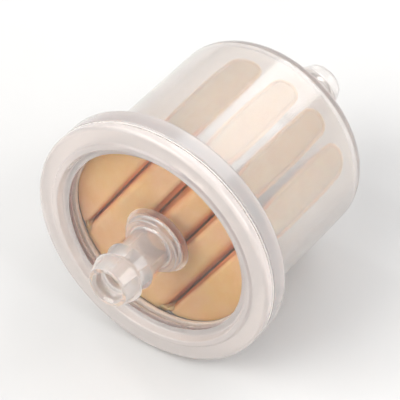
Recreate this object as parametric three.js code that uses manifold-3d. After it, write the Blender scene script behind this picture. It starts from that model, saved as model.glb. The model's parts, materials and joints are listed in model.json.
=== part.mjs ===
// Small in-line fuel filter: two clear mouldings welded at a wide flange, with a
// folded paper element inside. Millimetres, +Z up. The flow axis is Y: fuel enters
// at the nipple on the -Y end and leaves at the +Y end. The origin is on the flow
// axis, midway between the two nipple tips.
import * as THREE from 'three';
import { mergeVertices } from 'three/addons/utils/BufferGeometryUtils.js';
import Module from 'manifold-3d';

const wasm = await Module();
wasm.setup();

// ---------------------------------------------------------------- dimensions
const SEG = 36;              // facets round the turned pieces
const TIP_Y = 29.2;          // nipple tips at -TIP_Y and +TIP_Y
const BORE_R = 2.4;          // through bore of both nipples
const MOUTH_R = 2.8;         // chamfered mouth of each bore
const TIP_FACE_R = 3.3;      // outer edge of the flat ring at each tip
const TUBE_R = 3.4;          // nipple tube, for 1/4 inch fuel hose
const BARB_R = 4.3;          // barb nearest the tip
const BARB2_R = 4.1;         // second barb
const BOSS_R = 4.7;          // boss at the root of each nipple

const FLANGE_R = 21.0;       // both flange halves
const RIM_Y = -18.1;         // front face of the rim
const LIP_R = 17.7;          // middle of the raised ring on the cover's face
const LIP_H = 0.35;
const SEAM_Y = -16.3;        // welded seam, about a third of the way back
const SEAM_CHAMFER = 0.35;
const FLANGE_BACK_Y = -12.9; // back face of the flange
const EDGE_R = 0.7;          // rounding of the rim's outer edges

const DISC_Y = -17.2;        // outer face of the cover's disc
const DISC_IN_Y = -15.9;     // inner face of the cover's disc
const SPIGOT_R_IN = 16.25;   // short wall under the disc that locates in the cup
const SPIGOT_R_OUT = 16.85;
const SPIGOT_Y = -15.1;

const SOCKET_R = 17.0;       // the cup's counterbore that takes spigot and ring
const LEDGE_Y = -13.8;       // shelf at the bottom of the counterbore
const BODY_R = 17.4;         // outside of the cup just behind the flange
const BODY_R_REAR = 17.2;    // outside at the rear: moulding draft
const WALL = 1.25;
const REAR_Y = 15.5;         // outside of the rear wall
const SHOULDER_R = 3.0;      // rounding of the rear shoulder
const REAR_WALL = 1.4;
const FILLET_R = 0.8;        // fillet between body and flange

const RING_R_IN = 15.8;      // retaining ring
const RING_R_OUT = 16.8;
const RING_T = 0.7;

const RIM_SEAL_R_IN = 16.3;  // adhesive ring round the paper
const RIM_SEAL_R_OUT = 16.8;

const PACK_TURN = 33;        // degrees the folded sheet is turned about the flow axis
// The four pockets are folded by hand and each differs a little: where its mouth and its
// deep part lie across the pleats, half its gap at the mouth, and the rounding where the
// sheet turns into it on its low and on its high side.
const POCKETS = [
  { mouth: -9.2, deep: -9.3, half: 0.4, low: 0.7, high: 1.4 },
  { mouth: -2.9, deep: -2.9, half: 0.75, low: 0.8, high: 1.6 },
  { mouth: 3.2, deep: 3.3, half: 0.5, low: 1.6, high: 0.7 },
  { mouth: 8.9, deep: 9.4, half: 0.6, low: 1.7, high: 0.7 },
];
const PAPER_T = 0.55;
const PACK_R = 16.0;         // trimmed outline of the sheet at the front
const PACK_R_REAR = 15.4;    // and at the closed ends of the pockets
const PACK_Y = -14.1;        // front of the folds
const PACK_END_Y = 12.0;     // closed ends of the pockets
const BELLY_HALF = 2.0;      // half the gap at its widest
const END_HALF = 1.75;       // radius inside its closed end
const GAP = 0.3;             // clearance between the sheet and its end seals
const END_SEAL_T = 1.0;      // thickness of the adhesive at a pocket's end
const SEAL_DEPTH = 2.0;      // and how far behind the folds it starts

// ---------------------------------------------------------------- helpers
const V = (x, y) => new THREE.Vector2(x, y);

// Quarter or part arc about (cx, cy), from angle a to b in degrees, n steps.
function arc(cx, cy, r, a, b, n) {
  const out = [];
  for (let i = 0; i <= n; i++) {
    const t = THREE.MathUtils.degToRad(a + (b - a) * i / n);
    out.push(V(cx + r * Math.cos(t), cy + r * Math.sin(t)));
  }
  return out;
}

// A ring turned about the flow axis from a closed profile of (radius, y) points.
function turned(points, seg = SEG) {
  const p = points.map((q) => q.clone());
  let area = 0;
  for (let i = 0; i < p.length; i++) {
    const a = p[i], b = p[(i + 1) % p.length];
    area += a.x * b.y - b.x * a.y;
  }
  if (area < 0) p.reverse();
  p.push(p[0].clone());
  return new THREE.LatheGeometry(p, seg);
}

function toSolid(geometry) {
  const g = geometry.index ? geometry.clone() : geometry.clone();
  g.deleteAttribute('normal');
  g.deleteAttribute('uv');
  const m = mergeVertices(g, 1e-4);
  return new wasm.Manifold(new wasm.Mesh({
    numProp: 3,
    vertProperties: new Float32Array(m.attributes.position.array),
    triVerts: new Uint32Array(m.index.array),
  }));
}

function toGeometry(solid) {
  const mesh = solid.getMesh();
  const g = new THREE.BufferGeometry();
  g.setAttribute('position', new THREE.BufferAttribute(new Float32Array(mesh.vertProperties), 3));
  g.setIndex(new THREE.BufferAttribute(new Uint32Array(mesh.triVerts), 1));
  g.computeVertexNormals();
  return g;
}

function part(name, geometry, material, parent) {
  const m = new THREE.Mesh(geometry, material);
  m.name = name;
  parent.add(m);
  return m;
}

// ---------------------------------------------------------------- materials
const clear = () => new THREE.MeshStandardMaterial({
  color: 0xefe6df, roughness: 0.12, metalness: 0, transparent: true, opacity: 0.4,
});
const paperMaterial = new THREE.MeshStandardMaterial({ color: 0xdca066, roughness: 0.9, metalness: 0 });
const ringMaterial = new THREE.MeshStandardMaterial({ color: 0xf1ece6, roughness: 0.45, metalness: 0 });
const sealMaterial = new THREE.MeshStandardMaterial({ color: 0xd9b27c, roughness: 0.4, metalness: 0 });
const weldMaterial = new THREE.MeshStandardMaterial({ color: 0xe6d6cd, roughness: 0.3, metalness: 0 });

const filter = new THREE.Group();

// ---------------------------------------------------------------- nipple outline
// From the bore mouth, over the tip, along the outside to the foot of the boss.
// s is -1 at the inlet and +1 at the outlet; faceY is the face the boss stands on.
function nipple(s, faceY) {
  const tip = s * TIP_Y;
  const at = (d) => tip - s * d;              // d is the distance back from the tip
  const bossTop = faceY + s * 1.0;
  return [
    V(BORE_R, at(0.4)), V(MOUTH_R, tip), V(TIP_FACE_R, tip), V(TIP_FACE_R + 0.1, at(0.12)),
    V(BARB_R, at(2.6)), V(BARB_R, at(2.85)), V(TUBE_R, at(3.1)),
    V(TUBE_R, at(3.9)), V(BARB2_R, at(5.6)), V(BARB2_R, at(5.85)), V(TUBE_R, at(6.1)),
    V(TUBE_R, bossTop + s * 0.8), V(TUBE_R + 0.25, bossTop + s * 0.25), V(TUBE_R + 0.8, bossTop),
    V(BOSS_R - 0.2, bossTop), V(BOSS_R, bossTop - s * 0.25),
    V(BOSS_R + 0.1, faceY + s * 0.4), V(BOSS_R + 0.5, faceY),
  ];
}

// ---------------------------------------------------------------- inlet cover
const coverProfile = [
  ...nipple(-1, DISC_Y),
  // step up to the raised ring, then the rim
  V(LIP_R - 0.9, DISC_Y), V(LIP_R - 0.55, RIM_Y + 0.25), V(LIP_R - 0.4, RIM_Y - LIP_H * 0.7),
  V(LIP_R - 0.15, RIM_Y - LIP_H), V(LIP_R + 0.15, RIM_Y - LIP_H), V(LIP_R + 0.4, RIM_Y - LIP_H * 0.7),
  V(LIP_R + 0.6, RIM_Y),
  ...arc(FLANGE_R - EDGE_R, RIM_Y + EDGE_R, EDGE_R, -90, 0, 3),
  V(FLANGE_R, SEAM_Y - SEAM_CHAMFER), V(FLANGE_R - SEAM_CHAMFER, SEAM_Y),
  // welded land, spigot, underside of the disc
  V(SPIGOT_R_OUT, SEAM_Y), V(SPIGOT_R_OUT, SPIGOT_Y + 0.2 * -1), V(SPIGOT_R_OUT - 0.2, SPIGOT_Y),
  V(SPIGOT_R_IN, SPIGOT_Y), V(SPIGOT_R_IN, DISC_IN_Y - 0.2), V(SPIGOT_R_IN - 0.2, DISC_IN_Y),
  V(BORE_R + 0.3, DISC_IN_Y), V(BORE_R, DISC_IN_Y - 0.3),
];
part('inlet_cover', turned(coverProfile), clear(), filter);

// ---------------------------------------------------------------- housing cup
const innerRear = REAR_Y - REAR_WALL;
const innerArc = SHOULDER_R - WALL;
const cupProfile = [
  V(SOCKET_R, SEAM_Y), V(FLANGE_R - SEAM_CHAMFER, SEAM_Y), V(FLANGE_R, SEAM_Y + SEAM_CHAMFER),
  ...arc(FLANGE_R - EDGE_R, FLANGE_BACK_Y - EDGE_R, EDGE_R, 0, 90, 3),
  ...arc(BODY_R + FILLET_R, FLANGE_BACK_Y + FILLET_R, FILLET_R, 270, 180, 3),
  ...arc(BODY_R_REAR - SHOULDER_R, REAR_Y - SHOULDER_R, SHOULDER_R, 0, 90, 5),
  ...nipple(1, REAR_Y).reverse(),
  V(BORE_R, innerRear + 0.3), V(BORE_R + 0.3, innerRear),
  ...arc(BODY_R_REAR - WALL - innerArc, innerRear - innerArc, innerArc, 90, 0, 3),
  V(BODY_R - WALL, LEDGE_Y), V(SOCKET_R, LEDGE_Y),
];
part('housing_cup', turned(cupProfile), clear(), filter);

// ---------------------------------------------------------------- retaining ring
part('retaining_ring', turned([
  V(RING_R_IN + 0.15, SPIGOT_Y), V(RING_R_OUT, SPIGOT_Y), V(RING_R_OUT, SPIGOT_Y + RING_T),
  V(RING_R_IN, SPIGOT_Y + RING_T), V(RING_R_IN, SPIGOT_Y + 0.15),
]), ringMaterial, filter);

// ---------------------------------------------------------------- rim seal
part('rim_seal', turned([
  V(RIM_SEAL_R_IN, SPIGOT_Y + RING_T), V(RIM_SEAL_R_OUT, SPIGOT_Y + RING_T),
  V(RIM_SEAL_R_OUT, LEDGE_Y), V(RIM_SEAL_R_IN + 0.1, LEDGE_Y),
]), sealMaterial, filter);

// ---------------------------------------------------------------- weld bead
part('weld_bead', turned([
  V(FLANGE_R - 0.28, SEAM_Y), V(FLANGE_R - 0.02, SEAM_Y - 0.25), V(FLANGE_R - 0.02, SEAM_Y + 0.25),
]), weldMaterial, filter);

// ---------------------------------------------------------------- folded paper
// Local frame of the pack: X across the pleats, Y along the flow, Z along the folds.
const pack = new THREE.Group();
pack.rotation.y = THREE.MathUtils.degToRad(PACK_TURN);
filter.add(pack);

// Down a pocket: depth, share of its lean, half its gap.
const STATIONS = [[3.2, 0.45, 1.4], [8, 1, BELLY_HALF], [17.5, 1, BELLY_HALF - 0.05]];
const END_Y = PACK_END_Y - PAPER_T - END_HALF;  // centre of the round closed end

// One wall of pocket q at each station, offset by t; side is -1 or 1.
const wall = (q, side, t) => STATIONS.map(([d, lean, half]) =>
  V(q.mouth + (q.deep - q.mouth) * lean + side * (half + t), PACK_Y + d));

// Inlet side of the sheet across one pocket.
function pocketFront(q) {
  return [
    ...arc(q.mouth - q.half - q.low, PACK_Y + q.low, q.low, 270, 360, 4),
    ...wall(q, -1, 0), ...arc(q.deep, END_Y, END_HALF, 180, 0, 6), ...wall(q, 1, 0).reverse(),
    ...arc(q.mouth + q.half + q.high, PACK_Y + q.high, q.high, 180, 270, 4),
  ];
}
// Outlet side of the sheet where it turns into a pocket; a tight fold is creased, a wide one round.
function foldBack(q, side, r) {
  const points = r - PAPER_T > 0.4
    ? arc(q.mouth + side * (q.half + r), PACK_Y + r, r - PAPER_T, 270, side < 0 ? 360 : 180, 3)
    : [V(q.mouth + side * (q.half + PAPER_T + 0.15), PACK_Y + PAPER_T), V(q.mouth + side * (q.half + PAPER_T), PACK_Y + PAPER_T + 0.2)];
  return side < 0 ? points : points.reverse();
}
// Outlet side of the sheet across the same pocket.
function pocketBack(q) {
  return [
    ...foldBack(q, -1, q.low),
    ...wall(q, -1, PAPER_T), ...arc(q.deep, END_Y, END_HALF + PAPER_T, 180, 0, 6), ...wall(q, 1, PAPER_T).reverse(),
    ...foldBack(q, 1, q.high),
  ];
}

const sheetOutline = [V(-18, PACK_Y)];
for (const q of POCKETS) sheetOutline.push(...pocketFront(q));
sheetOutline.push(V(18, PACK_Y), V(18, PACK_Y + PAPER_T));
for (const q of [...POCKETS].reverse()) sheetOutline.push(...pocketBack(q).reverse());
sheetOutline.push(V(-18, PACK_Y + PAPER_T));

const sheetBlock = new THREE.ExtrudeGeometry(new THREE.Shape(sheetOutline), { depth: 36, bevelEnabled: false });
sheetBlock.translate(0, 0, -18);
// Round outline that the sheet is trimmed to: slightly narrower at the closed ends.
const trim = new THREE.LatheGeometry([
  V(0, PACK_Y - 2), V(PACK_R, PACK_Y - 2), V(PACK_R, PACK_Y + 2), V(PACK_R_REAR, PACK_END_Y + 1), V(0, PACK_END_Y + 1),
], 48);
part('pleated_paper', toGeometry(toSolid(sheetBlock).intersect(toSolid(trim))), paperMaterial, pack);

// ---------------------------------------------------------------- pleat end seals
// A curved strip of adhesive between the two walls of a pocket, at each of its ends.
const sealOut = 0.2, sealIn = sealOut + END_SEAL_T;
const sealBand = new THREE.LatheGeometry([
  V(PACK_R - sealIn, PACK_Y - 2), V(PACK_R - sealOut, PACK_Y - 2), V(PACK_R - sealOut, PACK_Y + 2),
  V(PACK_R_REAR - sealOut, PACK_END_Y + 1), V(PACK_R_REAR - sealIn, PACK_END_Y + 1),
  V(PACK_R - sealIn, PACK_Y + 2), V(PACK_R - sealIn, PACK_Y - 2),
], 48);
const bandSolid = toSolid(sealBand);
POCKETS.forEach((q, i) => {
  const start = q.half + 0.2 * (STATIONS[0][2] - q.half) - GAP;  // half width where the strip starts
  const outline = new THREE.Shape([
    V(q.mouth - start, PACK_Y + SEAL_DEPTH), ...wall(q, -1, -GAP),
    ...arc(q.deep, END_Y, END_HALF - GAP, 180, 0, 6),
    ...wall(q, 1, -GAP).reverse(), V(q.mouth + start, PACK_Y + SEAL_DEPTH),
  ]);
  for (const side of [-1, 1]) {
    const g = new THREE.ExtrudeGeometry(outline, { depth: 18, bevelEnabled: false });
    g.translate(0, 0, side < 0 ? -18 : 0);
    const strip = toSolid(g).intersect(bandSolid);
    part(`pleat_seal_${i + 1}_${side < 0 ? 'a' : 'b'}`, toGeometry(strip), sealMaterial, pack);
  }
});

export default filter;
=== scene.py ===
import json
import math

import bpy
import numpy as np
from mathutils import Matrix, Vector, noise

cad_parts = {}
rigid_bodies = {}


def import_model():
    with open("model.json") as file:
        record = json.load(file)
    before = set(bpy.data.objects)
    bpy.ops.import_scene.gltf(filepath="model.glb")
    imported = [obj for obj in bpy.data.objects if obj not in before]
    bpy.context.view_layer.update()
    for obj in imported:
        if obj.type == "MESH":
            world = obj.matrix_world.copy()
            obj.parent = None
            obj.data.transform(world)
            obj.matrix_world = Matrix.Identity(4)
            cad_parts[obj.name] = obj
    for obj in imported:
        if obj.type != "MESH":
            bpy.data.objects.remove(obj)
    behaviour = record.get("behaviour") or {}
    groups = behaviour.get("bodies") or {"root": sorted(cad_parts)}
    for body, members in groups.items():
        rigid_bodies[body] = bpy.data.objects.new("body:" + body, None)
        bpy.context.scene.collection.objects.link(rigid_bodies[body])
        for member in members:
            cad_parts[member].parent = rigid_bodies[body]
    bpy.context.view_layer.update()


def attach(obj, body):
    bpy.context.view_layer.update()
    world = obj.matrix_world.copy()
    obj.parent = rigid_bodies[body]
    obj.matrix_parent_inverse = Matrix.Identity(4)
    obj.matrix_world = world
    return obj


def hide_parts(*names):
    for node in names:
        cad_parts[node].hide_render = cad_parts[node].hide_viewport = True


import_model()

MM = 0.001
scene = bpy.context.scene
scene.view_settings.view_transform = "Standard"
scene.view_settings.look = "None"

# ------------------------------------------------------------------ dimensions, mm
# The same numbers as the CAD part, so that every piece lies in its node's place.
TIP_Y = 29.2
BORE_R, MOUTH_R, TIP_FACE_R, TUBE_R = 2.4, 2.8, 3.3, 3.4
BARB_R, BARB2_R, BOSS_R = 4.3, 4.1, 4.7
FLANGE_R, RIM_Y, LIP_R, LIP_H = 21.0, -18.1, 17.7, 0.35
SEAM_Y, SEAM_CHAMFER, FLANGE_BACK_Y, EDGE_R = -16.3, 0.35, -12.9, 0.7
DISC_Y, DISC_IN_Y = -17.2, -15.9
SPIGOT_R_IN, SPIGOT_R_OUT, SPIGOT_Y = 16.25, 16.85, -15.1
SOCKET_R, LEDGE_Y = 17.0, -13.8
BODY_R, BODY_R_REAR, WALL = 17.4, 17.2, 1.25
REAR_Y, SHOULDER_R, REAR_WALL, FILLET_R = 15.5, 3.0, 1.4, 0.8
RING_R_IN, RING_R_OUT, RING_T = 15.8, 16.8, 0.7
RIM_SEAL_R_IN, RIM_SEAL_R_OUT = 16.3, 16.8
PACK_TURN = 33.0
# per pocket: where its mouth and its deep part lie, half the gap at its mouth, and its fold's rounding on either side
POCKETS = ((-9.2, -9.3, 0.4, 0.7, 1.4), (-2.9, -2.9, 0.75, 0.8, 1.6), (3.2, 3.3, 0.5, 1.6, 0.7), (8.9, 9.4, 0.6, 1.7, 0.7))
THROAT_DEPTH, THROAT_HALF = 1.7, 0.05  # the walls nearly meet a little behind the folds
PAPER_T = 0.55
PACK_R, PACK_R_REAR, PACK_Y, PACK_END_Y = 16.0, 15.4, -14.1, 12.0
BELLY_HALF, END_HALF = 2.0, 1.75


# ------------------------------------------------------------------ geometry helpers
def mesh_object(name, verts_mm, faces, smooth=True):
    v = np.asarray(verts_mm, float)
    me = bpy.data.meshes.new(name)
    me.from_pydata((v * MM).tolist(), [], faces)
    me.validate()
    me.update()
    if smooth:
        me.polygons.foreach_set("use_smooth", [True] * len(me.polygons))
    o = bpy.data.objects.new(name, me)
    scene.collection.objects.link(o)
    return o


def signed_volume(v, faces):
    total = 0.0
    for f in faces:
        a = v[f[0]]
        for i in range(1, len(f) - 1):
            b, c = v[f[i]], v[f[i + 1]]
            total += float(np.dot(a, np.cross(b, c)))
    return total / 6


def rounded(points, step=12.0):
    """A closed profile of (r, y, corner radius): each corner becomes an arc, with a point every `step` degrees."""
    out = []
    n = len(points)
    for i in range(n):
        p = np.array(points[i][:2], float)
        rad = points[i][2] if len(points[i]) > 2 else 0.0
        a = np.array(points[i - 1][:2], float) - p
        b = np.array(points[(i + 1) % n][:2], float) - p
        la, lb = np.linalg.norm(a), np.linalg.norm(b)
        a, b = a / la, b / lb
        cos = float(np.clip(np.dot(a, b), -1, 1))
        ang = math.acos(cos)
        if rad <= 0 or ang > math.pi - 0.03:
            out.append(p)
            continue
        cut = rad / math.tan(ang / 2)
        limit = 0.46 * min(la, lb)
        if cut > limit:
            rad *= limit / cut
            cut = limit
        mid = (a + b) / np.linalg.norm(a + b)
        centre = p + mid * rad / math.sin(ang / 2)
        p0, p1 = p + a * cut - centre, p + b * cut - centre
        t0 = math.atan2(p0[1], p0[0])
        dt = math.atan2(p1[1], p1[0]) - t0
        dt = (dt + math.pi) % (2 * math.pi) - math.pi
        k = max(3, int(math.ceil(abs(math.degrees(dt)) / step)))
        for j in range(k + 1):
            t = t0 + dt * j / k
            out.append(centre + rad * np.array([math.cos(t), math.sin(t)]))
    return out


def supported(profile, edge=0.07, longest=1.6):
    """Adds points near both ends of each straight run, so that smooth shading stays true on flats."""
    out = []
    n = len(profile)
    for i in range(n):
        p, q = profile[i], profile[(i + 1) % n]
        out.append(p)
        d = q - p
        length = float(np.linalg.norm(d))
        if length > 5 * edge:
            k = max(1, int(math.ceil((length - 2 * edge) / longest)))
            for j in range(k + 1):
                out.append(p + d * (edge + (length - 2 * edge) * j / k) / length)
    return out


def lathe(name, points, segs=224, step=12.0, wobble=None):
    """A closed ring about the flow axis. wobble(angle, r, y) gives small shifts (dr, dy)."""
    prof = supported(rounded(points, step))
    m = len(prof)
    p = np.array(prof)
    area = float(np.sum(p[:, 0] * np.roll(p[:, 1], -1) - np.roll(p[:, 0], -1) * p[:, 1]))  # its sign is the profile's turning sense
    t = 2 * math.pi * np.arange(segs) / segs
    r = np.repeat(p[None, :, 0], segs, 0)
    y = np.repeat(p[None, :, 1], segs, 0)
    if wobble:
        for i in range(segs):
            for j in range(m):
                dr, dy = wobble(t[i], r[i, j], y[i, j])
                r[i, j] += dr
                y[i, j] += dy
    verts = np.stack([r * np.sin(t)[:, None], y, r * np.cos(t)[:, None]], 2).reshape(-1, 3)
    i = np.arange(segs)[:, None]
    j = np.arange(m)[None, :]
    k, l = (i + 1) % segs, (j + 1) % m
    quads = np.stack([i * m + j, i * m + l, k * m + l, k * m + j], 2).reshape(-1, 4)
    if area > 0:
        quads = quads[:, ::-1]
    return mesh_object(name, verts, quads.tolist())


def smoothstep(a, b, x):
    t = min(1.0, max(0.0, (x - a) / (b - a)))
    return t * t * (3 - 2 * t)


# ------------------------------------------------------------------ material helpers
class Nodes:
    """A material's node tree, with short calls to add and join nodes."""

    def __init__(self, name):
        self.m = bpy.data.materials.new(name)
        self.m.use_nodes = True
        self.t = self.m.node_tree
        self.t.nodes.clear()
        self.out = self.t.nodes.new("ShaderNodeOutputMaterial")
        self.p = self.t.nodes.new("ShaderNodeBsdfPrincipled")
        self.join(self.p.outputs[0], self.out.inputs["Surface"])
        self.coord = self.t.nodes.new("ShaderNodeTexCoord")

    def join(self, a, b):
        self.t.links.new(a, b)

    def noise(self, scale, detail=4.0, rough=0.5, stretch=None, offset=(0, 0, 0), distortion=0.0):
        n = self.t.nodes.new("ShaderNodeTexNoise")
        n.inputs["Scale"].default_value = scale
        n.inputs["Detail"].default_value = detail
        n.inputs["Roughness"].default_value = rough
        n.inputs["Distortion"].default_value = distortion
        mp = self.t.nodes.new("ShaderNodeMapping")
        mp.inputs["Location"].default_value = offset
        mp.inputs["Scale"].default_value = stretch or (1, 1, 1)
        self.join(self.coord.outputs["Object"], mp.inputs["Vector"])
        self.join(mp.outputs[0], n.inputs["Vector"])
        return n.outputs["Fac"]

    def span(self, value, lo, hi, a=0.3, b=0.7):
        n = self.t.nodes.new("ShaderNodeMapRange")
        n.inputs["From Min"].default_value = a
        n.inputs["From Max"].default_value = b
        n.inputs["To Min"].default_value = lo
        n.inputs["To Max"].default_value = hi
        self.join(value, n.inputs["Value"])
        return n.outputs["Result"]

    def ramp(self, value, stops):
        n = self.t.nodes.new("ShaderNodeValToRGB")
        e = n.color_ramp.elements
        while len(e) > len(stops):
            e.remove(e[-1])
        while len(e) < len(stops):
            e.new(0.5)
        for k, (pos, col) in zip(e, stops):
            k.position = pos
            k.color = (*col, 1)
        self.join(value, n.inputs["Fac"])
        return n.outputs["Color"]

    def mix(self, fac, a, b, how="MIX"):
        n = self.t.nodes.new("ShaderNodeMix")
        n.data_type = "RGBA"
        n.blend_type = how
        if isinstance(fac, (int, float)):
            n.inputs[0].default_value = fac
        else:
            self.join(fac, n.inputs[0])
        for s, v in ((6, a), (7, b)):
            if isinstance(v, tuple):
                n.inputs[s].default_value = (*v, 1)
            else:
                self.join(v, n.inputs[s])
        return n.outputs[2]

    def math(self, op, a, b=0.0):
        n = self.t.nodes.new("ShaderNodeMath")
        n.operation = op
        for s, v in ((0, a), (1, b)):
            if isinstance(v, (int, float)):
                n.inputs[s].default_value = v
            else:
                self.join(v, n.inputs[s])
        return n.outputs[0]

    def bump(self, height, strength, distance):
        n = self.t.nodes.new("ShaderNodeBump")
        n.inputs["Strength"].default_value = strength
        n.inputs["Distance"].default_value = distance
        self.join(height, n.inputs["Height"])
        self.join(n.outputs["Normal"], self.p.inputs["Normal"])
        return n

    def set(self, **values):
        for k, v in values.items():
            self.p.inputs[k.replace("_", " ")].default_value = v

    def absorb(self, colour, density):
        n = self.t.nodes.new("ShaderNodeVolumeAbsorption")
        n.inputs["Color"].default_value = (*colour, 1)
        n.inputs["Density"].default_value = density
        self.join(n.outputs[0], self.out.inputs["Volume"])


def clear_plastic(name, tint, transmission, rough, absorb, density, offset, coat=0.35, ior=1.49):
    """Clear moulded plastic: faint flow marks in the gloss, a milky haze, edges that gather a warm colour."""
    n = Nodes(name)
    n.set(Base_Color=(*tint, 1), IOR=ior, Transmission_Weight=transmission)
    n.set(Coat_Weight=coat, Coat_Roughness=0.06, Coat_IOR=1.5)
    flow = n.noise(90, 3, 0.5, stretch=(1, 0.35, 1), offset=offset)
    fine = n.noise(900, 2, 0.5, offset=offset)
    n.join(n.span(n.math("ADD", flow, n.math("MULTIPLY", fine, 0.25)), rough[0], rough[1], 0.45, 0.8), n.p.inputs["Roughness"])
    n.bump(n.math("ADD", flow, n.math("MULTIPLY", fine, 0.04)), 0.35, 0.00006)
    n.absorb(absorb, density)
    return n.m


WARM = (0.97, 0.80, 0.70)
window_plastic = clear_plastic("cover_window_plastic", (0.99, 0.975, 0.96), 0.97, (0.02, 0.05), WARM, 50, (0, 0, 0), coat=0.0, ior=1.22)
nipple_plastic = clear_plastic("nipple_plastic", (0.98, 0.965, 0.95), 0.77, (0.08, 0.18), WARM, 90, (0, 0, 0))
cover_plastic = clear_plastic("cover_rim_plastic", (0.98, 0.955, 0.94), 0.64, (0.15, 0.26), WARM, 150, (0, 0, 0))
spigot_plastic = clear_plastic("cover_spigot_plastic", (0.985, 0.96, 0.94), 0.25, (0.22, 0.34), WARM, 150, (1, 4, 2))
cup_plastic = clear_plastic("cup_wall_plastic", (0.98, 0.97, 0.955), 0.80, (0.15, 0.25), WARM, 100, (3, 1, 2))
cup_rim_plastic = clear_plastic("cup_rim_plastic", (0.98, 0.955, 0.94), 0.64, (0.15, 0.26), WARM, 150, (3, 1, 2))


def paper_material():
    n = Nodes("filter_paper")
    blotch = n.noise(260, 4, 0.55)
    fibre = n.noise(2600, 6, 0.65, stretch=(1, 0.5, 1), distortion=0.6)
    speck = n.noise(5200, 3, 0.5, offset=(7, 3, 1))
    base = n.ramp(blotch, [(0.3, (0.90, 0.49, 0.21)), (0.52, (0.95, 0.57, 0.28)), (0.72, (0.98, 0.64, 0.35))])
    fibres = n.ramp(fibre, [(0.3, (0.90, 0.51, 0.25)), (0.55, (0.96, 0.61, 0.33)), (0.75, (0.98, 0.73, 0.47))])
    colour = n.mix(0.5, base, fibres)
    dark = n.ramp(speck, [(0.60, (1, 1, 1)), (0.72, (0.82, 0.72, 0.60))])
    colour = n.mix(0.5, colour, dark, "MULTIPLY")
    tone = n.ramp(n.noise(85, 2, 0.5, offset=(0.4, 0.1, 0.2)), [(0.36, (1.0, 0.975, 0.80)), (0.62, (1.0, 0.94, 1.0))])
    colour = n.mix(1.0, colour, tone, "MULTIPLY")
    # painted shade: the paper just inside the folds, down in the pockets, is darkened to a rust orange for the shade in
    # the creases
    sep = n.t.nodes.new("ShaderNodeSeparateXYZ")
    n.join(n.coord.outputs["Object"], sep.inputs[0])
    painted_crease_shade = n.math("MULTIPLY", n.span(sep.outputs["Y"], 0.0, 1.0, (PACK_Y + 0.10) * MM, (PACK_Y + 1.0) * MM),
                    n.span(sep.outputs["Y"], 1.0, 0.0, (PACK_Y + 5.5) * MM, (PACK_Y + 9.0) * MM))
    # the rust-orange multiply that paints the crease shade
    crease_shade_colour = n.mix(1.0, colour, (1.0, 0.62, 0.37), "MULTIPLY")
    n.join(n.mix(n.math("MULTIPLY", painted_crease_shade, 0.85), colour, crease_shade_colour), n.p.inputs["Base Color"])
    n.join(n.span(fibre, 0.72, 0.92), n.p.inputs["Roughness"])
    n.set(Specular_IOR_Level=0.15)
    n.set(Subsurface_Weight=0.5, Subsurface_Radius=(0.0020, 0.0011, 0.0005), Subsurface_Scale=1.0)
    n.bump(n.math("ADD", fibre, n.math("MULTIPLY", speck, 0.4)), 0.55, 0.00009)
    return n.m


def ring_material():
    n = Nodes("retaining_ring_plastic")
    cloud = n.noise(180, 3, 0.5)
    fine = n.noise(2200, 2, 0.5)
    n.join(n.ramp(cloud, [(0.3, (0.86, 0.825, 0.78)), (0.7, (0.92, 0.90, 0.87))]), n.p.inputs["Base Color"])
    n.join(n.span(fine, 0.32, 0.5), n.p.inputs["Roughness"])
    n.set(Subsurface_Weight=0.25, Subsurface_Radius=(0.0012, 0.001, 0.0008), Subsurface_Scale=1.0)
    n.bump(fine, 0.2, 0.00002)
    return n.m


def adhesive_material(name, low, high):
    n = Nodes(name)
    cloud = n.noise(420, 4, 0.55)
    fine = n.noise(1800, 2, 0.5)
    n.join(n.ramp(cloud, [(0.3, low), (0.7, high)]), n.p.inputs["Base Color"])
    n.join(n.span(fine, 0.22, 0.42), n.p.inputs["Roughness"])
    n.set(Subsurface_Weight=0.7, Subsurface_Radius=(0.003, 0.0018, 0.0009), Subsurface_Scale=1.0)
    n.bump(n.math("ADD", cloud, n.math("MULTIPLY", fine, 0.3)), 0.5, 0.00008)
    return n.m


def weld_material():
    n = Nodes("weld_bead_plastic")
    cloud = n.noise(700, 4, 0.6)
    n.set(Base_Color=(0.96, 0.92, 0.89, 1), IOR=1.5, Transmission_Weight=0.4)
    n.join(n.span(cloud, 0.25, 0.45), n.p.inputs["Roughness"])
    n.bump(cloud, 0.4, 0.00004)
    return n.m


paper_mat, ring_mat, weld_mat = paper_material(), ring_material(), weld_material()
adhesive_mat = adhesive_material("adhesive", (0.85, 0.47, 0.20), (0.91, 0.57, 0.28))
rim_adhesive_mat = adhesive_material("rim_adhesive", (0.86, 0.76, 0.64), (0.91, 0.84, 0.75))


def give(obj, material, slot, *nodes):
    obj.data.materials.clear()
    obj.data.materials.append(material)
    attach(obj, "root")
    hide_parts(*nodes)


def finishes(obj, *more):
    """The stretches of a moulding where the wall is thinner or thicker take a clearer or a milkier finish."""
    me = obj.data
    c = np.zeros(len(me.polygons) * 3)
    me.polygons.foreach_get("center", c)
    c = c.reshape(-1, 3) / MM
    r = np.hypot(c[:, 0], c[:, 2])
    index = np.zeros(len(r), int)
    for k, (material, where) in enumerate(more):
        me.materials.append(material)
        index[where(r, c[:, 1])] = k + 1
    me.polygons.foreach_set("material_index", index.tolist())


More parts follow.
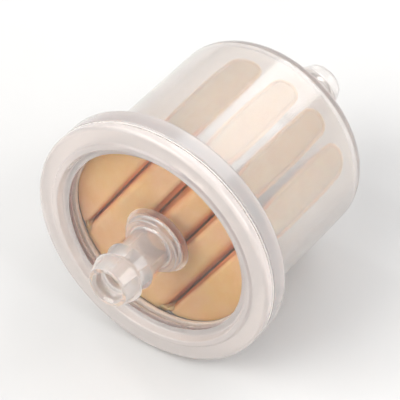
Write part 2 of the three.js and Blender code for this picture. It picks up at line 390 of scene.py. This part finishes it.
# ------------------------------------------------------------------ mouldings
def nipple(s, face_y):
    """From the mouth of the bore, over the tip and the two barbs, to the foot of the boss."""
    tip = s * TIP_Y

    def at(d):
        return tip - s * d

    boss = face_y + s * 1.0
    return [
        (BORE_R, at(0.4), 0.15), (MOUTH_R, tip, 0.08), (TIP_FACE_R + 0.05, tip, 0.14),
        (BARB_R, at(2.6), 0.10), (BARB_R, at(2.85), 0.10), (TUBE_R, at(3.1), 0.16),
        (TUBE_R, at(3.9), 0.22), (BARB2_R, at(5.6), 0.10), (BARB2_R, at(5.85), 0.10), (TUBE_R, at(6.1), 0.18),
        (TUBE_R, boss, 0.75), (BOSS_R, boss, 0.28), (BOSS_R + 0.12, face_y, 0.42),
    ]


WINDOW_R = 15.85  # the thin clear stretch of the disc ends here
AIR = 0.03  # the unwelded land between the flange halves
cover = nipple(-1, DISC_Y) + [
    (WINDOW_R, DISC_Y), (LIP_R - 0.85, DISC_Y, 0.35), (LIP_R - 0.50, RIM_Y - LIP_H, 0.26), (LIP_R + 0.36, RIM_Y - LIP_H, 0.30),
    (LIP_R + 0.62, RIM_Y, 0.25), (FLANGE_R, RIM_Y, EDGE_R), (FLANGE_R, SEAM_Y - SEAM_CHAMFER, 0.12),
    (FLANGE_R - SEAM_CHAMFER, SEAM_Y - AIR, 0.06), (SPIGOT_R_OUT, SEAM_Y - AIR, 0.15), (SPIGOT_R_OUT, SPIGOT_Y, 0.2),
    (SPIGOT_R_IN, SPIGOT_Y, 0.2), (SPIGOT_R_IN, DISC_IN_Y, 0.2), (WINDOW_R, DISC_IN_Y), (BORE_R, DISC_IN_Y, 0.35),
]
cover_obj = lathe("inlet_cover_moulding", cover)
give(cover_obj, cover_plastic, "clear_housing", "inlet_cover")
finishes(cover_obj, (window_plastic, lambda r, y: (r > BOSS_R + 0.7) & (r < WINDOW_R)),
         (spigot_plastic, lambda r, y: (r > WINDOW_R) & (r < SPIGOT_R_OUT + 0.1) & (y > DISC_IN_Y - 0.05)),
         (nipple_plastic, lambda r, y: r <= BOSS_R + 0.7))

inner_rear = REAR_Y - REAR_WALL
cup = [
    (SOCKET_R, SEAM_Y + AIR, 0.12), (FLANGE_R - SEAM_CHAMFER, SEAM_Y + AIR, 0.06), (FLANGE_R, SEAM_Y + SEAM_CHAMFER, 0.12),
    (FLANGE_R, FLANGE_BACK_Y, EDGE_R), (BODY_R, FLANGE_BACK_Y, FILLET_R), (BODY_R_REAR, REAR_Y, SHOULDER_R),
] + nipple(1, REAR_Y)[::-1] + [
    (BORE_R, inner_rear, 0.35), (BODY_R_REAR - WALL, inner_rear, SHOULDER_R - WALL), (BODY_R - WALL, LEDGE_Y, 0.15),
    (SOCKET_R, LEDGE_Y, 0.15),
]
cup_obj = lathe("housing_cup_moulding", cup)
give(cup_obj, cup_plastic, "clear_housing", "housing_cup")
finishes(cup_obj, (cup_rim_plastic, lambda r, y: y < FLANGE_BACK_Y + 0.02),
         (nipple_plastic, lambda r, y: (r <= BOSS_R + 0.7) & (y > 0)))

ring = [
    (RING_R_IN, SPIGOT_Y + 0.02, 0.18), (RING_R_OUT, SPIGOT_Y + 0.02, 0.12),
    (RING_R_OUT, SPIGOT_Y + RING_T, 0.12), (RING_R_IN, SPIGOT_Y + RING_T, 0.18),
]
give(lathe("retaining_ring_washer", ring), ring_mat, "pale_ring", "retaining_ring")


def seal_wobble(t, r, y):
    x, z = 3 * math.sin(t), 3 * math.cos(t)
    a = noise.noise(Vector((x * 2, y * 0.7, z * 2)))
    b = noise.noise(Vector((x * 6 + 9, y, z * 6)))
    inner = smoothstep(RIM_SEAL_R_OUT, RIM_SEAL_R_IN, r)
    return inner * (0.16 * a + 0.06 * b - 0.04), 0.0


rim_seal = [
    (RIM_SEAL_R_IN - 0.02, SPIGOT_Y + RING_T + 0.02, 0.15), (RIM_SEAL_R_OUT, SPIGOT_Y + RING_T + 0.02, 0.08),
    (RIM_SEAL_R_OUT, LEDGE_Y - 0.02, 0.08), (RIM_SEAL_R_IN + 0.05, LEDGE_Y - 0.02, 0.2),
]
give(lathe("rim_seal_bead", rim_seal, segs=288, step=20, wobble=seal_wobble), rim_adhesive_mat, "adhesive", "rim_seal")


def weld_wobble(t, r, y):
    x, z = 21 * math.sin(t), 21 * math.cos(t)
    a = noise.noise(Vector((x * 0.5, 2.0, z * 0.5)))
    b = noise.noise(Vector((x * 1.7, 5.0, z * 1.7)))
    out = smoothstep(FLANGE_R - 0.28, FLANGE_R - 0.05, r)
    return out * (0.03 * a + 0.012 * b - 0.05), 0.02 * b * out


weld = [(FLANGE_R - 0.30, SEAM_Y, 0.03), (FLANGE_R - 0.02, SEAM_Y - 0.22, 0.12), (FLANGE_R - 0.02, SEAM_Y + 0.22, 0.12)]
give(lathe("weld_bead_ring", weld, segs=420, step=25, wobble=weld_wobble), weld_mat, "weld", "weld_bead")

# ------------------------------------------------------------------ folded paper
turn = math.radians(PACK_TURN)
ACROSS = Vector((math.cos(turn), 0, -math.sin(turn)))  # across the pleats
ALONG = Vector((math.sin(turn), 0, math.cos(turn)))    # along the folds
MID_Y = PACK_Y + PAPER_T / 2                           # middle of the sheet on the flat lands
END_C = PACK_END_Y - PAPER_T - END_HALF                # centre of a pocket's closed end
STATIONS = [(THROAT_DEPTH, 0.15, THROAT_HALF), (5.0, 1.0, 1.8), (9.5, 1.0, BELLY_HALF), (17.5, 1.0, BELLY_HALF - 0.05)]


def pocket_at(q, y):
    """(centre across the pleats, half the clear gap) of a pocket at height y, down to its round closed end."""
    mouth, deep, half = q[:3]
    if y >= END_C:
        return deep, math.sqrt(max(0.0, END_HALF ** 2 - (y - END_C) ** 2))
    pts = [(PACK_Y, 0.0, half)] + [(PACK_Y + d, w, g) for d, w, g in STATIONS] + [(END_C, 1.0, END_HALF)]
    for (y0, w0, g0), (y1, w1, g1) in zip(pts, pts[1:]):
        if y <= y1:
            t = max(0.0, (y - y0) / (y1 - y0))
            e = t * t * (3 - 2 * t)
            w = w0 + (w1 - w0) * (0.5 * t + 0.5 * e)
            return mouth + (deep - mouth) * w, g0 + (g1 - g0) * (0.5 * t + 0.5 * e)
    return deep, END_HALF


def sheet_line():
    """Middle line of the sheet across all pockets: a list of (u, y, pocket index or -1, pocket centre)."""
    h = PAPER_T / 2
    out = []
    u = -(PACK_R - 0.12)
    for idx, q in enumerate(POCKETS):
        mouth, deep, half, low, high = q
        path = []
        rt, rw = low - h, high - h
        for i in range(9):
            a = math.radians(90 * i / 8)
            path.append((mouth - half - low + rt * math.sin(a), MID_Y + rt - rt * math.cos(a)))
        y = MID_Y + rt
        while y < END_C - 0.6:
            y += 0.5
            c, g = pocket_at(q, y)
            path.append((c - g - h, y))
        for i in range(19):
            a = math.radians(180 - 180 * i / 18)
            path.append((deep + (END_HALF + h) * math.cos(a), END_C + (END_HALF + h) * math.sin(a)))
        right = []
        y = MID_Y + rw
        while y < END_C - 0.6:
            y += 0.5
            c, g = pocket_at(q, y)
            right.append((c + g + h, y))
        path += right[::-1]
        for i in range(10):
            a = math.radians(90 - 90 * i / 9)
            path.append((mouth + half + high - rw * math.sin(a), MID_Y + rw - rw * math.cos(a)))
        while u < path[0][0] - 0.25:
            out.append((u, MID_Y, -1, mouth))
            u += 0.35
        for p in path:
            out.append((p[0], p[1], idx, pocket_at(q, p[1])[0]))
        u = path[-1][0] + 0.3
    while u < PACK_R - 0.3:
        out.append((u, MID_Y, -1, 0.0))
        u += 0.35
    out.append((PACK_R - 0.12, MID_Y, -1, 0.0))
    return out


def trim_radius(y):
    t = min(1.0, max(0.0, (y - (PACK_Y + 2)) / (PACK_END_Y + 1 - PACK_Y - 2)))
    return PACK_R + (PACK_R_REAR - PACK_R) * t


def warp(u, y, v, c, idx):
    """Hand-folded unevenness: walls bow, lands crown, closed ends round off towards their sides."""
    depth = (y - MID_Y) / (PACK_END_Y - MID_Y)
    throat = 1 - smoothstep(3.2, 6.5, y - PACK_Y)
    r = trim_radius(y)
    t = v / max(0.5, math.sqrt(max(0.3, r * r - u * u)))
    if idx >= 0:
        bow = smoothstep(0.12, 0.30, depth)
        side = 1.0 if u > c else -1.0
        a = noise.noise(Vector((idx * 7.3 + side, y * 0.09, v * 0.11)))
        b = noise.noise(Vector((idx * 3.1 + side * 2, y * 0.30 + 4, v * 0.28)))
        # the mouth gapes more towards one end of the folds
        half = POCKETS[idx][2]
        gape = 1 - smoothstep(0.3, THROAT_DEPTH, y - PACK_Y)
        shut = gape * half * (0.45 - 0.45 * smoothstep(-12.0, 9.0, v))
        wave = gape * 0.12 * half * noise.noise(Vector((idx * 5.7 + side * 1.7, 9.0, v * 0.16)))
        u += bow * (0.34 * a + 0.10 * b) * min(1.0, 1.3 - t * t) - side * shut + wave
        # closed ends: the middle reaches furthest back
        ease = smoothstep(0.3, 1.0, depth)
        y -= ease * (1.1 * smoothstep(0.72, 1.0, abs(t)) ** 1.5 + 0.25 * (noise.noise(Vector((idx * 11.0, 3.0, v * 0.2))) + 0.4))
    crown = (1 - smoothstep(0.0, 0.06, depth))
    y += crown * 0.10 * noise.noise(Vector((u * 0.25, 1.0, v * 0.18)))
    fine = (0.035 - 0.02 * throat) * noise.noise(Vector((u * 1.1, y * 0.9, v * 1.1))) + 0.02 * noise.noise(Vector((u * 2.6, y * 2.4, v * 2.6)))
    return u + fine, y + fine * 0.6


def to_row(u, y, v):
    return (ACROSS.x * u + ALONG.x * v, y, ACROSS.z * u + ALONG.z * v)


def build_paper():
    line = sheet_line()
    n, m = len(line), 72
    mid = np.zeros((n, m + 1, 3))
    for i, (u, y, idx, c) in enumerate(line):
        r = trim_radius(y)
        vmax = math.sqrt(max(0.02, r * r - u * u))
        for j in range(m + 1):
            s = -1 + 2 * j / m
            s = math.copysign(1 - (1 - abs(s)) ** 1.15, s) if s else 0.0
            v = s * vmax
            uu, yy = warp(u, y, v, c, idx)
            mid[i, j] = (uu, yy, v)
    # normals of the middle surface
    du = np.gradient(mid, axis=0)
    dv = np.gradient(mid, axis=1)
    nor = np.cross(du, dv)
    nor /= np.linalg.norm(nor, axis=2, keepdims=True) + 1e-12
    # at the outline the sheet is cut square, so thickness there stays in the plane across the folds
    front = mid + nor * (PAPER_T / 2)
    back = mid - nor * (PAPER_T / 2)
    grid = np.concatenate([front.reshape(-1, 3), back.reshape(-1, 3)])
    w = m + 1
    faces = []
    off = n * w
    for i in range(n - 1):
        for j in range(m):
            a, b, c2, d = i * w + j, (i + 1) * w + j, (i + 1) * w + j + 1, i * w + j + 1
            faces.append((a, b, c2, d))
            faces.append((off + a, off + d, off + c2, off + b))
    for i in range(n - 1):
        for j, flip in ((0, False), (m, True)):
            a, b = i * w + j, (i + 1) * w + j
            f = (a, off + a, off + b, b)
            faces.append(f[::-1] if flip else f)
    for j in range(m):
        for i, flip in ((0, True), (n - 1, False)):
            a, b = i * w + j, i * w + j + 1
            f = (a, off + a, off + b, b)
            faces.append(f[::-1] if flip else f)
    verts = np.array([to_row(*p) for p in grid])
    if signed_volume(verts, faces) < 0:
        faces = [f[::-1] for f in faces]
    return mesh_object("pleated_paper_sheet", verts, faces), front


paper, paper_front = build_paper()
give(paper, paper_mat, "filter_paper", "pleated_paper")


# ------------------------------------------------------------------ pleat end seals
def fold_dip(radius, depth):
    """How far the rounded fold stands back from its wall at a depth behind the front of the folds."""
    return radius - math.sqrt(max(0.0, radius ** 2 - (radius - depth) ** 2)) if depth < radius else 0.0


def build_seal(idx, side):
    """A strip of adhesive between the two walls at one end of a pocket, bulging a little past the paper's edge."""
    q = POCKETS[idx]
    rows = []
    y = PACK_Y + 0.15
    ys = []
    while y < END_C + END_HALF - 0.06:
        ys.append(y)
        y += 0.35 if y < END_C else 0.16
    for y in ys:
        c, g = pocket_at(q, y)
        d = y - PACK_Y
        low = c - g - 0.28 - fold_dip(q[3], d)
        high = c + g + 0.28 + fold_dip(q[4], d)
        r = trim_radius(y)
        loop = []
        for side_u in np.linspace(-1, 1, 7):
            u0 = low + (high - low) * (side_u + 1) / 2
            edge = math.sqrt(r * r - u0 * u0)
            bulge = 0.22 * (1 - side_u ** 2) + 0.10 * noise.noise(Vector((idx * 5 + side * 2, y * 0.8, side_u)))
            loop.append((u0, edge - 0.12 + bulge * 0.6))
        for side_u in np.linspace(1, -1, 7):
            u0 = low + (high - low) * (side_u + 1) / 2
            edge = math.sqrt(r * r - u0 * u0)
            dip = 0.35 * (1 - side_u ** 2) + 0.22 * noise.noise(Vector((idx * 9 + side * 4, y * 0.6 + 7, side_u * 0.7)))
            loop.append((u0, edge - 1.15 + dip))
        row = []
        for u0, v0 in loop:
            uu, yy = warp(u0, y, side * v0, c, idx)
            row.append((uu, yy, side * v0))
        rows.append(row)
    k = len(rows[0])
    verts = [p for row in rows for p in row]
    faces = []
    for i in range(len(rows) - 1):
        for j in range(k):
            l = (j + 1) % k
            faces.append((i * k + j, i * k + l, (i + 1) * k + l, (i + 1) * k + j))
    faces.append(tuple(range(k))[::-1])
    faces.append(tuple((len(rows) - 1) * k + j for j in range(k)))
    verts = np.array([to_row(*p) for p in verts])
    if signed_volume(verts, faces) < 0:
        faces = [f[::-1] for f in faces]
    return mesh_object(f"pleat_seal_strip_{idx + 1}_{'a' if side < 0 else 'b'}", verts, faces)


for i in range(4):
    for s in (-1, 1):
        node = f"pleat_seal_{i + 1}_{'a' if s < 0 else 'b'}"
        give(build_seal(i, s), adhesive_mat, "adhesive", node)

# ------------------------------------------------------------------ floor, light, camera
# The filter lies on its side on the rim's back edge and the rear shoulder, so the floor slopes to the flow axis:
# the common tangent of those two rounded edges.
_a = (FLANGE_BACK_Y - EDGE_R, FLANGE_R - EDGE_R, EDGE_R)
_b = (REAR_Y - SHOULDER_R, BODY_R_REAR - SHOULDER_R, SHOULDER_R)
_dy, _dr = _b[0] - _a[0], _b[1] - _a[1]
TILT = math.asin((_a[2] - _b[2]) / math.hypot(_dy, _dr)) + math.atan2(-_dr, _dy)
FLOOR_Z = -((_a[0] * math.sin(TILT) + _a[1] * math.cos(TILT) + _a[2] + 0.02) / math.cos(TILT)) * MM


def build_floor():
    rings, segs = [0.0, 0.05, 0.12, 0.3, 0.6, 1.0, 1.5, 2.1], 96
    verts, faces = [(0, 0, 0)], []
    for r in rings[1:]:
        for i in range(segs):
            t = 2 * math.pi * i / segs
            verts.append((r * math.cos(t), r * math.sin(t), 0))
    for i in range(segs):
        faces.append((0, 1 + i, 1 + (i + 1) % segs))
    for k in range(len(rings) - 2):
        a, b = 1 + k * segs, 1 + (k + 1) * segs
        for i in range(segs):
            l = (i + 1) % segs
            faces.append((a + i, b + i, b + l, a + l))
    me = bpy.data.meshes.new("floor")
    me.from_pydata(verts, [], faces)
    me.transform(Matrix.Translation((0, 0, FLOOR_Z)) @ Matrix.Rotation(TILT, 4, "X"))
    o = bpy.data.objects.new("floor", me)
    scene.collection.objects.link(o)
    return o


floor = build_floor()
fm = Nodes("floor_pale")
fm.set(Specular_IOR_Level=0.2)
soft = fm.noise(30, 3, 0.5)
fm.join(fm.ramp(soft, [(0.3, (0.63, 0.627, 0.62)), (0.7, (0.655, 0.652, 0.645))]), fm.p.inputs["Base Color"])
fm.join(fm.span(soft, 0.55, 0.7), fm.p.inputs["Roughness"])
# far away the floor takes the surroundings' even light
far = fm.t.nodes.new("ShaderNodeVectorMath")
far.operation = "LENGTH"
fm.join(fm.coord.outputs["Object"], far.inputs[0])
fade = fm.t.nodes.new("ShaderNodeMapRange")
fade.interpolation_type = "SMOOTHSTEP"
fade.inputs["From Min"].default_value, fade.inputs["From Max"].default_value = 0.12, 0.75
fm.join(far.outputs["Value"], fade.inputs["Value"])
even = fm.t.nodes.new("ShaderNodeEmission")
even.inputs["Color"].default_value = (0.80, 0.79, 0.78, 1)
even.inputs["Strength"].default_value = 0.80
blend = fm.t.nodes.new("ShaderNodeMixShader")
fm.join(fade.outputs["Result"], blend.inputs[0])
fm.join(fm.p.outputs[0], blend.inputs[1])
fm.join(even.outputs[0], blend.inputs[2])
fm.join(blend.outputs[0], fm.out.inputs["Surface"])
floor.data.materials.append(fm.m)

world = bpy.data.worlds.new("studio")
scene.world = world
world.use_nodes = True
wt = world.node_tree
wt.nodes.clear()
wo = wt.nodes.new("ShaderNodeOutputWorld")
bg = wt.nodes.new("ShaderNodeBackground")
tc = wt.nodes.new("ShaderNodeTexCoord")
sep = wt.nodes.new("ShaderNodeSeparateXYZ")
mr = wt.nodes.new("ShaderNodeMapRange")
ramp = wt.nodes.new("ShaderNodeValToRGB")
wt.links.new(tc.outputs["Generated"], sep.inputs[0])
mr.inputs["From Min"].default_value = -0.2
mr.inputs["From Max"].default_value = 1.0
wt.links.new(sep.outputs["Z"], mr.inputs["Value"])
wt.links.new(mr.outputs["Result"], ramp.inputs["Fac"])
ramp.color_ramp.elements[0].position = 0.12
ramp.color_ramp.elements[0].color = (0.80, 0.79, 0.78, 1)
ramp.color_ramp.elements[1].position = 1.0
ramp.color_ramp.elements[1].color = (0.62, 0.63, 0.65, 1)
wt.links.new(ramp.outputs["Color"], bg.inputs["Color"])
bg.inputs["Strength"].default_value = 0.80
wt.links.new(bg.outputs[0], wo.inputs[0])


def softbox(name, pos, target, size, size_y, power, colour=(1, 1, 1)):
    light = bpy.data.lights.new(name, "AREA")
    light.shape = "RECTANGLE"
    light.size, light.size_y = size, size_y
    light.energy = power
    light.color = colour
    o = bpy.data.objects.new(name, light)
    scene.collection.objects.link(o)
    d = Vector(target) - Vector(pos)
    o.location = pos
    o.rotation_euler = d.to_track_quat("-Z", "Y").to_euler()
    return o


softbox("key", (-0.28, -0.45, 0.42), (0, 0, 0), 0.60, 0.60, 4.2, (1.0, 0.985, 0.96))
softbox("back_top", (0.10, 0.45, 0.52), (0, 0, 0), 0.50, 0.34, 1.6)
softbox("right", (0.52, 0.02, 0.36), (0, 0, 0), 0.45, 0.45, 2.5, (0.99, 0.99, 1.0))
softbox("edge", (-0.42, 0.10, 0.36), (0, 0, 0), 0.05, 0.40, 0.5)

AZ, EL, DIST, LENS = math.radians(34.5), math.radians(41.2), 0.475, 285.0
cam_data = bpy.data.cameras.new("camera")
cam_data.lens = LENS
cam_data.sensor_width = 36.0
cam_data.clip_start = 0.01
cam_data.clip_end = 20
cam = bpy.data.objects.new("camera", cam_data)
scene.collection.objects.link(cam)
direction = Vector((math.sin(AZ) * math.cos(EL), -math.cos(AZ) * math.cos(EL), math.sin(EL)))
right = Vector((math.cos(AZ), math.sin(AZ), 0))
up = Vector((-math.sin(AZ) * math.sin(EL), math.cos(AZ) * math.sin(EL), math.cos(EL)))
target = Vector((0, RIM_Y * MM, 0))
# centre the filter's outline in the frame
for _ in range(3):
    eye = target + direction * DIST
    xs, ys = [], []
    for o in scene.objects:
        if o.type == "MESH" and o is not floor and not o.name.startswith("pleat"):
            co = np.zeros(len(o.data.vertices) * 3, np.float32)
            o.data.vertices.foreach_get("co", co)
            d = co.reshape(-1, 3) - np.array(eye)
            depth = -(d @ np.array(direction))
            xs += [float((d @ np.array(right) / depth).min()), float((d @ np.array(right) / depth).max())]
            ys += [float((d @ np.array(up) / depth).min()), float((d @ np.array(up) / depth).max())]
    target = target + right * ((min(xs) + max(xs)) / 2 * DIST) + up * ((min(ys) + max(ys)) / 2 * DIST)
cam.location = target + direction * DIST
rot = Matrix((right, up, direction)).transposed()
cam.rotation_euler = rot.to_euler()
scene.camera = cam
